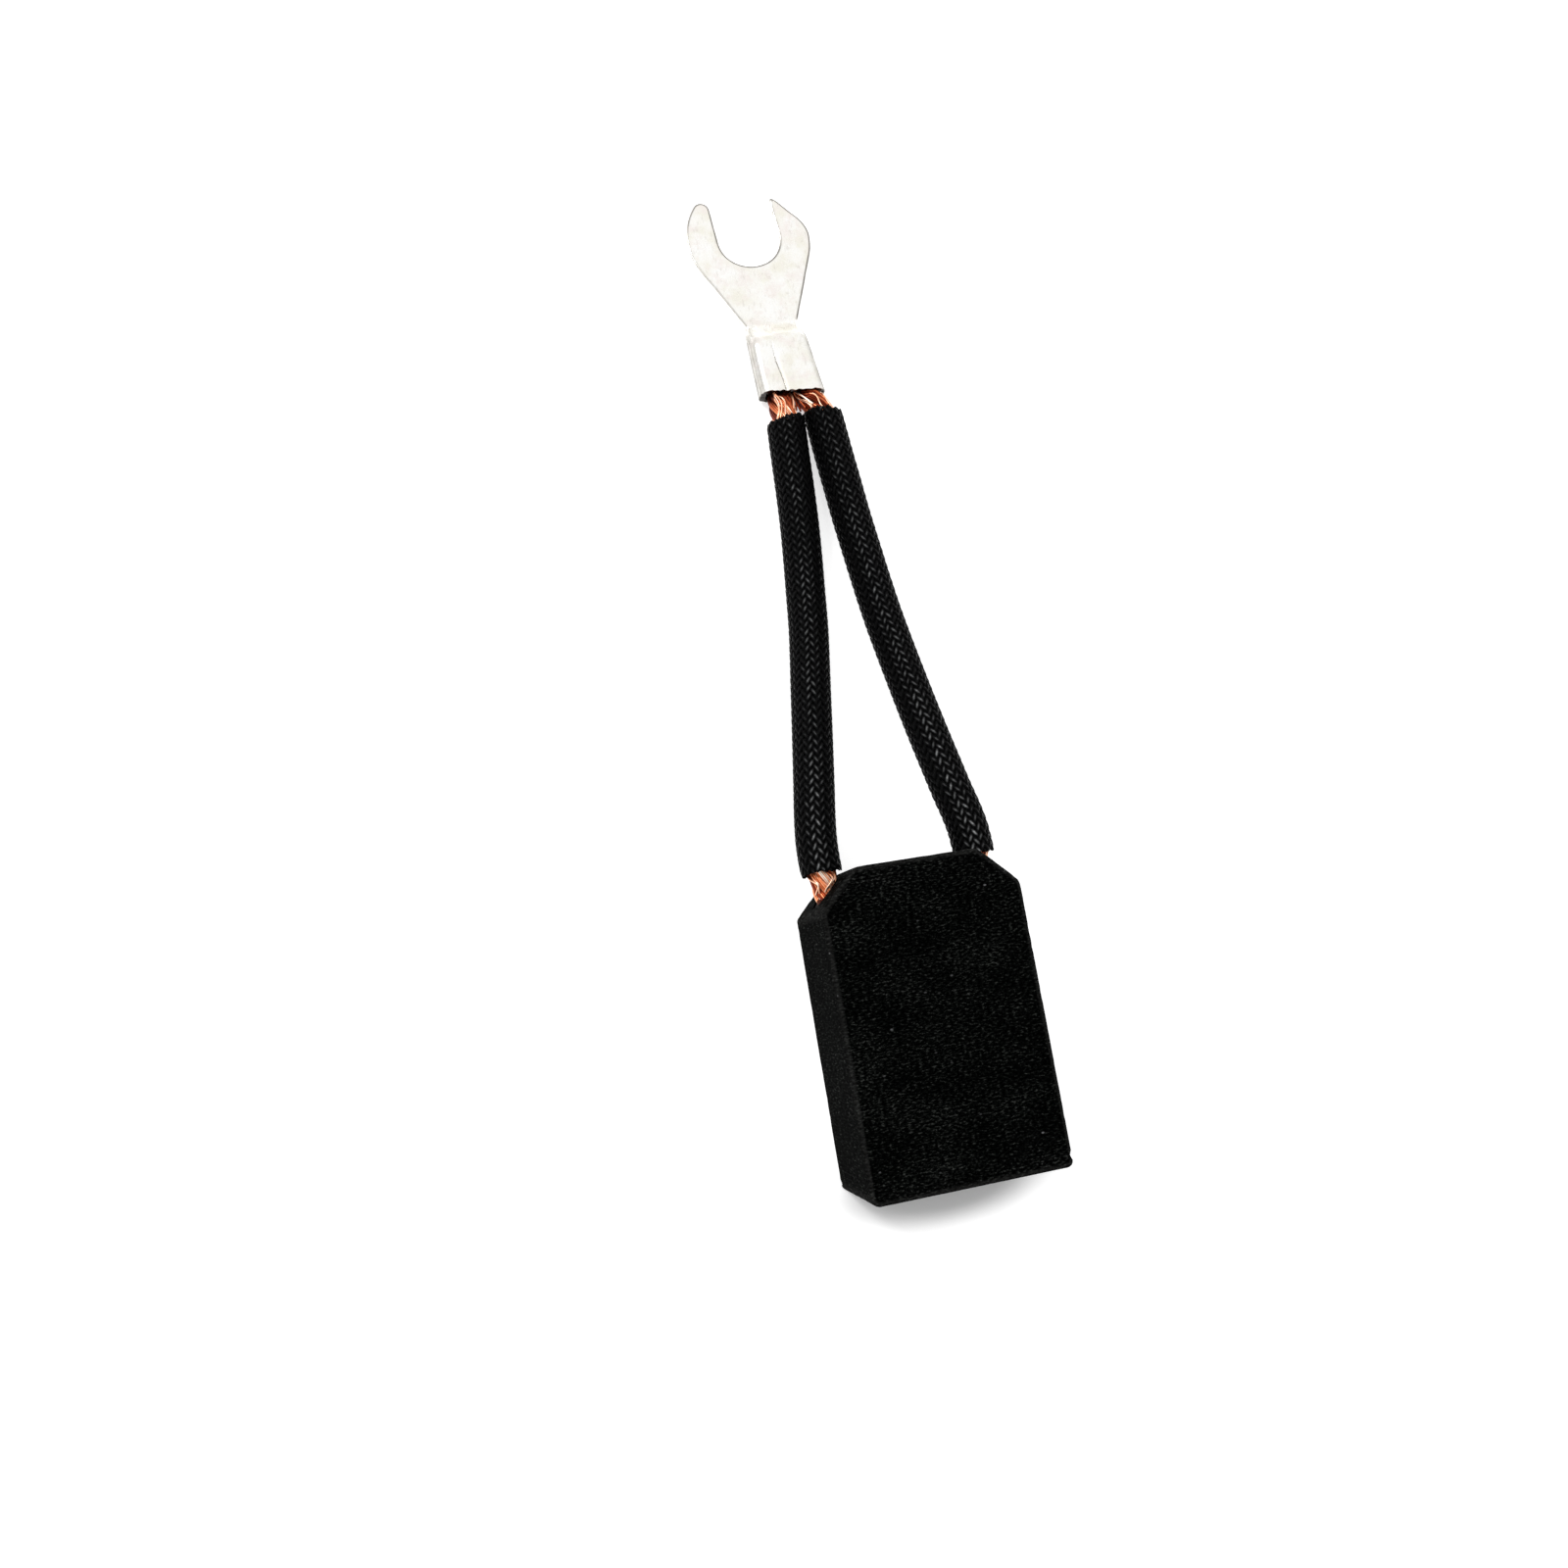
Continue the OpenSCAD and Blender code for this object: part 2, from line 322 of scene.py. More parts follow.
def math_node(nodes, links, operation, *values):
    """A sum on sockets or numbers."""
    n = nodes.new("ShaderNodeMath")
    n.operation = operation
    for i, v in enumerate(values):
        if isinstance(v, (int, float)):
            n.inputs[i].default_value = v
        else:
            links.new(v, n.inputs[i])
    return n.outputs[0]


def copper_material():
    m, nodes, links, sh = new_material("copper_wire")
    obj = nodes.new("ShaderNodeTexCoord").outputs["Object"]
    tone = put(nodes, "ShaderNodeAttribute", attribute_name="tone").outputs["Fac"]
    patch = noise_at(nodes, links, obj, 420.0, 4.0, 0.6)
    both = math_node(nodes, links, "MULTIPLY_ADD", patch, 0.7, math_node(
        nodes, links, "MULTIPLY_ADD", tone, 0.8, -0.25))
    # painted highlight and shade: palest stops for highlights, darkest for shade, random
    # between
    links.new(ramp(nodes, links, both, [
        (0.14, (0.20, 0.030, 0.012)), (0.34, (0.56, 0.125, 0.045)), (0.54, (0.86, 0.31, 0.135)),
        (0.74, (0.97, 0.56, 0.36)), (0.92, (1.0, 0.84, 0.72))]), sh.inputs["Base Color"])
    sh.inputs["Metallic"].default_value = 1.0
    fine = noise_at(nodes, links, obj, 2600.0, 3.0, 0.6)
    links.new(ramp(nodes, links, fine, [(0.3, grey(0.26)), (0.75, grey(0.5))]),
              sh.inputs["Roughness"])
    bump(nodes, links, fine, sh, 0.25, 0.00004)
    return m


# painted shade: near black copper for the shade deep between the wires
def shaded_core_material():
    m, nodes, links, sh = new_material("copper_core_painted_shade")
    obj = nodes.new("ShaderNodeTexCoord").outputs["Object"]
    patch = noise_at(nodes, links, obj, 900.0, 4.0, 0.6)
    links.new(ramp(nodes, links, patch, [(0.3, (0.035, 0.006, 0.003)),
                                         (0.8, (0.13, 0.024, 0.010))]), sh.inputs["Base Color"])
    sh.inputs["Metallic"].default_value = 0.8
    sh.inputs["Roughness"].default_value = 0.6
    bump(nodes, links, patch, sh, 0.3, 0.00008)
    return m


def yarn_material():
    m, nodes, links, sh = new_material("black_braid")
    coord = nodes.new("ShaderNodeTexCoord")
    tone = put(nodes, "ShaderNodeAttribute", attribute_name="tone").outputs["Fac"]
    dust_and_glint = noise_at(nodes, links, coord.outputs["Object"], 1500.0, 5.0, 0.65)
    # painted highlight: the tone holds float crowns painted lighter as glints, varied by noise
    both = math_node(nodes, links, "MULTIPLY", tone, math_node(
        nodes, links, "MULTIPLY_ADD", dust_and_glint, 1.3, 0.35))
    links.new(ramp(nodes, links, both, [
        (0.0, (0.0010, 0.0010, 0.0011)), (0.25, (0.0050, 0.0052, 0.0053)),
        (0.60, (0.096, 0.098, 0.099)), (1.0, (0.43, 0.435, 0.435))]), sh.inputs["Base Color"])
    # filaments run along each yarn, slightly twisted
    fil = put(nodes, "ShaderNodeTexWave", wave_type="BANDS", bands_direction="X")
    fil.inputs["Scale"].default_value = 4.0
    fil.inputs["Distortion"].default_value = 2.5
    fil.inputs["Detail"].default_value = 2.0
    links.new(scaled(nodes, links, coord.outputs["UV"], (1.0, 0.12, 1.0)), fil.inputs["Vector"])
    links.new(ramp(nodes, links, dust_and_glint, [(0.2, grey(0.20)), (0.8, grey(0.32))]),
              sh.inputs["Roughness"])
    sh.inputs["Specular IOR Level"].default_value = 0.03
    bump(nodes, links, fil.outputs["Fac"], sh, 0.45, 0.00006)
    return m


def liner_material():
    m, nodes, links, sh = new_material("braid_ground")
    obj = nodes.new("ShaderNodeTexCoord").outputs["Object"]
    patch = noise_at(nodes, links, obj, 3000.0, 4.0, 0.6)
    links.new(ramp(nodes, links, patch, [(0.3, grey(0.002)), (0.8, grey(0.006))]),
              sh.inputs["Base Color"])
    sh.inputs["Roughness"].default_value = 0.85
    sh.inputs["Specular IOR Level"].default_value = 0.02
    bump(nodes, links, patch, sh, 0.4, 0.00005)
    return m


def graphite_material():
    m, nodes, links, sh = new_material("electrographite")
    obj = nodes.new("ShaderNodeTexCoord").outputs["Object"]
    # pressed grain: short grey dashes across the width on near black
    dash = noise_at(nodes, links, scaled(nodes, links, obj, (1500.0, 3300.0, 700.0)),
                    1.0, 3.0, 0.7)
    cloud = noise_at(nodes, links, scaled(nodes, links, obj, (110.0, 190.0, 190.0)),
                     1.0, 3.0, 0.5)
    both = math_node(nodes, links, "MULTIPLY_ADD", cloud, 0.14, math_node(
        nodes, links, "MULTIPLY", dash, 0.86))
    grain = ramp(nodes, links, both, [
        (0.44, grey(0.0002)), (0.51, (0.0010, 0.0012, 0.0011)),
        (0.58, (0.0065, 0.0072, 0.0066)), (0.70, (0.052, 0.055, 0.051))])
    # edges rubbed a little lighter
    edge = put(nodes, "ShaderNodeAttribute", attribute_name="edge").outputs["Fac"]
    rub = math_node(nodes, links, "MULTIPLY", edge, math_node(
        nodes, links, "MULTIPLY_ADD", dash, 1.6, -0.45))
    rubbed = mixed(nodes, links, rub, grain, (0.028, 0.028, 0.027))
    # single graphite flakes, painted bright as their glint
    cell = put(nodes, "ShaderNodeTexVoronoi", feature="F1")
    cell.inputs["Scale"].default_value = 1.0
    links.new(scaled(nodes, links, obj, (650.0, 1100.0, 1100.0)), cell.inputs["Vector"])
    near = ramp(nodes, links, cell.outputs["Distance"], [(0.0, grey(1.0)), (0.20, grey(0.0))])
    pick = ramp(nodes, links, cell.outputs["Color"], [(0.84, grey(0.0)), (0.95, grey(1.0))])
    flake_glint = math_node(nodes, links, "MULTIPLY", near, pick)
    links.new(mixed(nodes, links, flake_glint, rubbed, (0.30, 0.30, 0.31)), sh.inputs["Base Color"])
    links.new(ramp(nodes, links, dash, [(0.3, grey(0.82)), (0.7, grey(0.62))]),
              sh.inputs["Roughness"])
    sh.inputs["Specular IOR Level"].default_value = 0.003
    bump(nodes, links, both, sh, 0.45, 0.00010)
    return m


def tamping_material():
    m, nodes, links, sh = new_material("tamping_compound")
    obj = nodes.new("ShaderNodeTexCoord").outputs["Object"]
    grit = noise_at(nodes, links, obj, 2600.0, 6.0, 0.7)
    links.new(ramp(nodes, links, grit, [
        (0.3, grey(0.006)), (0.55, (0.016, 0.014, 0.013)), (0.8, (0.05, 0.036, 0.028))]),
        sh.inputs["Base Color"])
    sh.inputs["Roughness"].default_value = 0.8
    bump(nodes, links, grit, sh, 0.8, 0.00015)
    return m


def tin_material():
    m, nodes, links, sh = new_material("tinned_copper")
    obj = nodes.new("ShaderNodeTexCoord").outputs["Object"]
    # warm and rosy clouds in the plating, short grey rub marks
    cloud = noise_at(nodes, links, obj, 230.0, 4.0, 0.6)
    rose = noise_at(nodes, links, scaled(nodes, links, obj, (420.0, 420.0, 420.0)),
                    1.0, 3.0, 0.6)
    rub = noise_at(nodes, links, scaled(nodes, links, obj, (1500.0, 620.0, 900.0)),
                   1.0, 4.0, 0.62)
    warm = ramp(nodes, links, cloud, [
        (0.38, (0.905, 0.882, 0.795)), (0.50, (0.955, 0.942, 0.895)),
        (0.62, (0.978, 0.972, 0.950))])
    rosy = ramp(nodes, links, rose, [(0.50, grey(0.0)), (0.66, grey(0.75))])
    tint = mixed(nodes, links, rosy, warm, (0.915, 0.850, 0.812))
    marks = ramp(nodes, links, rub, [(0.55, grey(0.0)), (0.74, grey(0.75))])
    plated = mixed(nodes, links, marks, tint, (0.70, 0.665, 0.61))
    # up to 1 dulls the metal to a cut edge's grey, from 1 on blackens it; edges, and painted
    # shade
    stain_and_shade = put(nodes, "ShaderNodeAttribute", attribute_name="stain_and_shade").outputs["Fac"]
    broken = math_node(nodes, links, "MULTIPLY_ADD", rub, 1.1, 0.42)
    dull = math_node(nodes, links, "MULTIPLY", stain_and_shade, broken)
    cut = ramp(nodes, links, dull, [(0.0, grey(0.0)), (0.95, grey(1.0))])
    edged = mixed(nodes, links, cut, plated, (0.235, 0.220, 0.195))
    deep = math_node(nodes, links, "SUBTRACT", stain_and_shade, 1.0)
    black = ramp(nodes, links, deep, [(0.0, grey(0.0)), (0.6, grey(1.0))])
    links.new(mixed(nodes, links, black, edged, (0.022, 0.017, 0.014)), sh.inputs["Base Color"])
    sh.inputs["Metallic"].default_value = 1.0
    links.new(ramp(nodes, links, rub, [(0.35, grey(0.22)), (0.70, grey(0.30))]),
              sh.inputs["Roughness"])
    bump(nodes, links, cloud, sh, 0.10, 0.00015)
    return m


COPPER = copper_material()
SHADED_CORE = shaded_core_material()
YARN = yarn_material()
LINER = liner_material()
GRAPHITE = graphite_material()
TAMPING = tamping_material()
TIN = tin_material()


# ---------------------------------------------------------------- copper leads

STRANDS = 8
STRAND_R = 0.62
RING_R = 1.65
ROPE_R = RING_R + STRAND_R
ROPE_LAY = 20.5
LEAD_STEP = 0.3
# half width and half height of one rope where the crimp holds it
PRESSED_WIDE, PRESSED_HIGH = 2.07, 1.07
PRESS_BEFORE, PRESS_RUN = 2.6, 2.9
# painted shade: under its wires a strand is a plain tube painted dark, as is the rope's core
STRAND_BODY_R = STRAND_R * 0.74
STRAND_SIDES = 8
WIRES = 10
WIRE_R = 0.145
WIRE_LAY = 15.0
WIRE_SIDES = 6
TONE_SPREAD = 0.45
# painted shade: wires get darker over this run before the crimp's mouth
SHADE_BEFORE, SHADE_RUN, SHADE_DEPTH = 5.0, 3.2, 0.92
LOOSE_WIRES = 5
LOOSE_R = 2.20
STRAY_R = WIRE_R * 1.25
# stray wires between the two ropes at the crimp: three places on the lug, and a tone
LEFT_STRAYS = [
    ((-0.5, -0.3, 3.0), (-0.5, -1.9, 3.9), (-1.0, -4.0, 4.4), 0.75),
    ((0.0, -0.2, 2.4), (0.2, -1.6, 2.8), (-0.2, -3.8, 3.2), 0.15),
    ((-1.0, -0.3, 2.6), (-0.9, -1.8, 3.2), (-0.7, -3.9, 3.4), 0.10),
]
RIGHT_STRAYS = [
    ((0.3, -0.3, 3.0), (1.2, -1.9, 4.2), (2.4, -3.9, 5.0), 1.0),
    ((0.8, -0.2, 2.5), (0.7, -1.7, 3.1), (1.4, -3.9, 3.6), 0.3),
    ((0.5, -0.2, 2.2), (0.3, -1.8, 2.6), (0.6, -4.0, 2.9), 0.05),
]


def lug_place(p, q, z):
    """A place on the lug: p right of its middle, q from the crimp's mouth to the fork."""
    return (LUG_SHIFT + p * math.cos(LUG_TURN) - q * math.sin(LUG_TURN),
            LUG_Y + p * math.sin(LUG_TURN) + q * math.cos(LUG_TURN), z)


def lead_points(side, route):
    """The lead's middle line: hole bottom, mouth, sleeved route, then three inside the lug."""
    deep = (side * (MOUTH[0] - EMBEDDED * math.sin(HOLE_LEAN)),
            MOUTH[1] - EMBEDDED * math.cos(HOLE_LEAN), MID_Z)
    mouth = (side * MOUTH[0], MOUTH[1], MID_Z)
    return ([deep, mouth] + [(x, y + TOP_Y, z) for x, y, z in route]
            + [lug_place(side * 2.4, -1, 2.3), lug_place(side * 2.1, 0, 2.3),
               lug_place(side * 2.1, 9.8, 2.3)])


def make_lead(name, side, route, seed):
    """One stranded rope: eight strands round a core, fine wires where the copper shows."""
    rng = np.random.default_rng(seed)
    points = lead_points(side, route)
    line = smooth_line(points, LEAD_STEP)
    _, s, u = frames(line)
    run = run_of(line)
    mouth, sleeve_in, sleeve_out, crimp = (
        run[np.argmin(np.linalg.norm(line - np.array(points[k]), axis=1))]
        for k in (1, 2, -4, -2))
    # the crimp presses the round rope into half of its barrel
    press = np.clip((run - crimp + PRESS_BEFORE) / PRESS_RUN, 0, 1)
    press = press * press * (3 - 2 * press)
    wide = 1 + press * (PRESSED_WIDE / ROPE_R - 1)
    high = 1 + press * (PRESSED_HIGH / ROPE_R - 1)
    # strands sit a little unevenly where nothing holds them
    loose = np.exp(-((run - (sleeve_out + crimp) / 2) / 2.2) ** 2)
    loose += np.exp(-((run - (mouth + sleeve_in) / 2) / 1.6) ** 2)
    bare = [(mouth - 1.5, sleeve_in + 1.8), (sleeve_out - 1.8, run[-1])]
    b = Builder()
    # the rope's core, painted dark as shade between the strands
    core = RING_R - 0.25
    b.tube(line, s, u, core * wide, core * high, 10, tone=0.2, mat=1)
    for k in range(STRANDS):
        swing = rng.uniform(-0.16, 0.16) * loose
        lift = 1 + rng.uniform(-0.05, 0.06) * loose
        angle = TAU * k / STRANDS + side * 0.2 + TAU * run / ROPE_LAY + swing
        cx = RING_R * wide * lift * np.cos(angle)
        cz = RING_R * high * lift * np.sin(angle)
        centre = line + s * cx[:, None] + u * cz[:, None]
        across, out = tube_frame(centre, line)
        strand_tone = rng.uniform(0.2, 0.8)
        body = STRAND_BODY_R * (wide + high) / 2
        b.tube(centre, across, out, body, body, STRAND_SIDES, tone=strand_tone * 0.5, mat=1)
        for low, top in bare:
            seen = np.where((run >= low) & (run <= top))[0]
            cut = slice(seen[0], seen[-1])
            for w in range(WIRES):
                turn = TAU * w / WIRES - TAU * run[cut] / WIRE_LAY
                r = (STRAND_R - WIRE_R) * (1 + rng.uniform(-0.06, 0.05))
                r = r * ((wide + high) / 2)[cut]
                wire = (centre[cut] + across[cut] * (r * np.cos(turn))[:, None]
                        + out[cut] * (r * np.sin(turn))[:, None])
                tone = np.clip(strand_tone + rng.uniform(-TONE_SPREAD, TONE_SPREAD), 0, 1)
                # painted shade where the wires run in under the crimp
                shade = np.clip((run[cut] - crimp + SHADE_BEFORE) / SHADE_RUN, 0, 1)
                b.tube(wire, *tube_frame(wire, centre[cut]), WIRE_R, WIRE_R, WIRE_SIDES,
                       tone=tone * (1 - SHADE_DEPTH * shade))
    # loose wires stand off the rope beside the crimp and above the block, bright as painted
    # highlight
    least, most = (-0.3, math.pi * 0.9) if side < 0 else (0.1, math.pi + 0.3)
    for _ in range(LOOSE_WIRES):
        start = rng.uniform(sleeve_out - 0.6, sleeve_out + 0.8)
        stop = rng.uniform(crimp - 0.6, crimp + 1.2)
        loose_wire(b, (line, s, u, run), start, stop, rng.uniform(least, most),
                   rng.uniform(-1.1, 1.1), rng.uniform(1.0, 1.14), rng.uniform(0.65, 1.0))
    for *places, tone in LEFT_STRAYS if side < 0 else RIGHT_STRAYS:
        stray = smooth_line([lug_place(*place) for place in places], LEAD_STEP)
        _, stray_s, stray_u = frames(stray)
        b.tube(stray, stray_s, stray_u, STRAY_R, STRAY_R, WIRE_SIDES, tone=tone)
    for _ in range(LOOSE_WIRES):
        loose_wire(b, (line, s, u, run), mouth - 0.4, sleeve_in + 0.8,
                   rng.uniform(0.3, math.pi - 0.2), rng.uniform(-1.2, 1.2),
                   rng.uniform(1.0, 1.2), rng.uniform(0.65, 1.0))
    ob = b.finish(name, [COPPER, SHADED_CORE])
    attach(ob, "root")
    return ob, line


def loose_wire(b, rope, start, stop, turn, wander, stand_off, tone):
    """A single wire outside the rope's lay, bowed outwards between its two ends."""
    line, s, u, run = rope
    t = np.linspace(0, 1, 22)
    at = start + (stop - start) * t
    middle = sample(line, run, at)
    side_dir, up_dir = unit(sample(s, run, at)), unit(sample(u, run, at))
    angle = turn + wander * t + 0.25 * np.sin(TAU * t + turn)
    r = LOOSE_R * (1 + (stand_off - 1) * np.sin(math.pi * t))
    # a long one is pressed flat over its last stretch and painted darker there as shade
    end = np.clip((at - (stop - 2.2)) / 2.2, 0, 1) if stop - start > 3 else 0 * t
    flat = 1 - 0.45 * end
    wire = middle + side_dir * (r * np.cos(angle))[:, None] + up_dir * (
        r * flat * np.sin(angle))[:, None]
    b.tube(wire, *tube_frame(wire, middle), WIRE_R, WIRE_R, WIRE_SIDES,
           tone=tone * (1 - 0.8 * end))


# ---------------------------------------------------------------- braided sleeves

YARNS = 24
BRAID_PITCH = 1.45
BRAID_LAY = YARNS * BRAID_PITCH
BRAID_MID = 3.10
BRAID_WAVE = 0.13
YARN_HALF = 0.355
YARN_THICK = 0.15
LINER_OUTER, LINER_INNER = 2.86, 2.55
SLEEVE_STEP = 0.32
# the middle line goes on past the sleeve's ends by so many short steps
END_STEP, END_STEPS = 0.3, 6
# a sleeve's end is cut slanting, and is longest on the side that faces its neighbour
END_PROUD, END_SLANT = 0.25, 0.6
# painted highlight: the side whose float crowns are painted as glints, and each yarn side's
# share
GLINT_SIDE = np.array([-0.20, -0.06, 0.978])
GLINT_ACROSS_YARN = [0.22, 1.0, 0.22, 0.0, 0.0, 0.0]


def over_under(t):
    """Smooth two over, two under wave: high at t mod 4 in {0, 1}, low at {2, 3}."""
    return np.clip(1.6 * np.cos(math.pi * (t - 0.5) / 2), -1, 1)


def make_sleeve(name, node, side, route, seed):
    """A braid of yarns of both hands, two over and two under, on a thin dark tube."""
    rng = np.random.default_rng(seed)
    line = smooth_line([(x, y + TOP_Y, z) for x, y, z in route], SLEEVE_STEP)
    full = run_of(line)[-1]
    ahead = unit(line[-1] - line[-3])
    back = unit(line[0] - line[2])
    # only the right sleeve reaches further down, over its lead's bare end
    below = 0 if side < 0 else END_STEPS
    line = np.vstack([line[0] + back * END_STEP * k for k in range(below, 0, -1)] + [line]
                     + [line[-1] + ahead * END_STEP * k for k in range(1, END_STEPS + 1)])
    full += END_STEP * below
    _, s, u = frames(line)
    run = run_of(line)
    inner = 0.0 if side < 0 else math.pi
    b = Builder()
    liner = slice(1, int(np.sum(run < full + 0.2)))
    b.pipe(line[liner], s[liner], u[liner], LINER_OUTER, LINER_INNER, 24, mat=1)
    for turn in (1, -1):
        for k in range(YARNS):
            first = rng.integers(0, 2)
            angle = turn * TAU * run / BRAID_LAY + TAU * k / YARNS
            # the yarn of the other hand that it meets at this place
            other = turn * 2 * YARNS * run / BRAID_LAY + k
            r = BRAID_MID + BRAID_WAVE * over_under(other + k) * turn
            stop = (full + END_PROUD + END_SLANT * (1 + np.cos(angle - inner))
                    + rng.uniform(-0.12, 0.12))
            cut = slice(first, int(np.sum(run < stop)))
            end = np.minimum(run, np.maximum(stop - run, 0))
            r = r + rng.uniform(-0.16, 0.02) * np.exp(-end / 0.8)
            centre = line + s * (r * np.cos(angle))[:, None] + u * (r * np.sin(angle))[:, None]
            across, out = tube_frame(centre, line)
            half = YARN_HALF * (1 + rng.uniform(-0.05, 0.03))
            # painted highlight: float crowns painted lighter as glints, most where they lie
            # uppermost
            crown = np.clip(np.cos(math.pi * (other + k - 0.5) / 2) * turn, 0, 1) ** 1.3
            worn = np.clip((unit(centre - line) @ GLINT_SIDE - 0.70) / 0.30, 0, 1) ** 1.4
            crown = crown * (0.05 + 0.95 * worn) * (1.0 - 0.40 * run / full)
            crown = (crown * rng.uniform(0.6, 1.0))[cut]
            b.tube(centre[cut], across[cut], out[cut], half, YARN_THICK, len(GLINT_ACROSS_YARN),
                   tone=np.outer(GLINT_ACROSS_YARN, crown))
    ob = b.finish(name, [YARN, LINER])
    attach(ob, "root")
    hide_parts(node)
    return ob


# ---------------------------------------------------------------- carbon block

BLOCK_W, BLOCK_L, BLOCK_T = 32.0, 50.0, 20.0
SHOULDER = 6.0
BREAK = 0.42
# rounding of the upright corners, anticlockwise from the contact face's right end
CORNER_ROUNDS = [1.0, 1.8, 2.6, 2.2, 1.4, 1.3]
OUTLINE_STEP = 0.75
# a last narrow band just inside the rim keeps the flat faces' shading flat
CAP_BAND, CAP_IN = 0.35, 0.5
WORN_REACH = 0.9
HOLE_R = 2.8
HOLE_DEPTH = 13.0
DRILL_POINT = 118.0
TIP_DEPTH = HOLE_R / math.tan(math.radians(DRILL_POINT / 2))
DRILL_SIDES = 48


def value_noise(p, scale, seed=0.0):
    return noise.noise(Vector((p[0] * scale + seed, p[1] * scale - seed,
                               p[2] * scale + 2 * seed)))


def block_loop(spacing):
    """The block's outline seen from above, corners rounded: places and outward normals."""
    x, y = BLOCK_W / 2, BLOCK_L / 2
    corners = [(x, -y), (x, y - SHOULDER), (x - SHOULDER, y),
               (SHOULDER - x, y), (-x, y - SHOULDER), (-x, -y)]
    arcs = []
    for i, (c, radius) in enumerate(zip(corners, CORNER_ROUNDS)):
        c = np.array(c)
        before = unit(np.array(corners[i - 1]) - c)
        after = unit(np.array(corners[(i + 1) % len(corners)]) - c)
        half = math.acos(float(np.clip(before @ after, -1, 1))) / 2
        centre = c + unit(before + after) * radius / math.sin(half)
        n0 = np.array([before[1], -before[0]])
        n1 = np.array([-after[1], after[0]])
        n0 = n0 if n0 @ (c - centre) > 0 else -n0
        n1 = n1 if n1 @ (c - centre) > 0 else -n1
        normals = [unit(n0 * (8 - k) / 8 + n1 * k / 8) for k in range(9)]
        arcs.append([(centre + n * radius, n) for n in normals])
    out = []
    for i, arc in enumerate(arcs):
        out += arc
        start, n = arc[-1]
        stop, _ = arcs[(i + 1) % len(arcs)][0]
        full = max(int(round(np.linalg.norm(stop - start) / spacing)), 2)
        out += [(start + (stop - start) * k / full, n) for k in range(1, full)]
    return out


def edge_wear(p):
    """How far an edge is rubbed and chipped back at p."""
    worn = max(0.0, value_noise(p, 0.55, 3.1)) * 0.10 + abs(value_noise(p, 1.7, 8.3)) * 0.05
    chip = max(0.0, value_noise(p, 0.8, 21.7) - 0.42) * 1.4
    return worn + chip


def make_block():
    """The pressed block: its edges are worn round with a few small chips."""
    rounds = [(BREAK * (1 - math.cos(a)), BREAK * (1 - math.sin(a)))
              for a in np.linspace(0, math.pi / 2, 5)]
    middle = np.linspace(BREAK, BLOCK_T - BREAK, 27)[1:-1]
    levels = [(0.0, BREAK + CAP_BAND)] + rounds + [(float(z), 0.0) for z in middle]
    levels += [(BLOCK_T - z, i) for z, i in reversed(rounds)] + [(BLOCK_T, BREAK + CAP_BAND)]
    base = block_loop(OUTLINE_STEP)
    count = len(base)
    at_corner = [np.linalg.norm(base[k - 1][1] - base[(k + 1) % count][1]) > 1e-6
                 for k in range(count)]
    bm = bmesh.new()
    edge = bm.verts.layers.float.new("edge")
    rows = []
    for z, inset in levels:
        flat = inset > BREAK
        to_rim = min(z, BLOCK_T - z)
        rim = max(0.0, 1 - to_rim / WORN_REACH)
        row = []
        for k, (place, n) in enumerate(base):
            at = place - n * min(inset, BREAK)
            if flat:
                at = at * (1 - CAP_IN / np.linalg.norm(at))
            near = 0.0 if flat else max(rim, float(at_corner[k]))
            depth = near * edge_wear((float(at[0]), float(at[1]), z))
            down = depth * 0.8 * (1 - to_rim / BREAK) if to_rim < BREAK else 0.0
            at = at - n * depth
            v = bm.verts.new((at[0] * MM, at[1] * MM,
                              (z + down if z < BLOCK_T / 2 else z - down) * MM))
            v[edge] = near
            row.append(v)
        rows.append(row)
    skin(bm, rows)
    bm.faces.new(list(reversed(rows[0])))
    bm.faces.new(rows[-1])
    ob = place_mesh("block", bm, smooth=True)
    for side in (-1, 1):
        drill_hole(ob, side)
    ob.data.materials.clear()
    ob.data.materials.append(GRAPHITE)
    ob.data.polygons.foreach_set("material_index", [0] * len(ob.data.polygons))
    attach(ob, "root")
    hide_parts("carbon_block")


def drill_hole(block, side):
    """Cuts a lead hole with its drill point."""
    bm = bmesh.new()
    tip = bm.verts.new((0, 0, -HOLE_DEPTH - TIP_DEPTH))
    turns = [TAU * k / DRILL_SIDES for k in range(DRILL_SIDES)]
    rows = [[bm.verts.new((HOLE_R * math.cos(w), HOLE_R * math.sin(w), d)) for w in turns]
            for d in (-HOLE_DEPTH, 0.0, 8.0)]
    for k in range(DRILL_SIDES):
        m = (k + 1) % DRILL_SIDES
        bm.faces.new((tip, rows[0][m], rows[0][k]))
        for low, high in zip(rows, rows[1:]):
            bm.faces.new((low[k], low[m], high[m], high[k]))
    bm.faces.new(rows[-1])
    bmesh.ops.recalc_face_normals(bm, faces=bm.faces)
    drill = place_mesh("drill", bm, smooth=False)
    axis = Vector((side * math.sin(HOLE_LEAN), math.cos(HOLE_LEAN), 0))
    drill.rotation_euler = axis.to_track_quat("Z", "X").to_euler()
    drill.location = Vector((side * MOUTH[0], MOUTH[1], MID_Z)) * MM
    drill.scale = (MM, MM, MM)
    cut = block.modifiers.new("hole", "BOOLEAN")
    cut.operation = "DIFFERENCE"
    cut.solver = "EXACT"
    cut.object = drill
    bpy.context.view_layer.update()
    done = bpy.data.meshes.new_from_object(
        block.evaluated_get(bpy.context.evaluated_depsgraph_get()))
    block.modifiers.clear()
    block.data = done
    bpy.data.objects.remove(drill)


# ---------------------------------------------------------------- cable lug

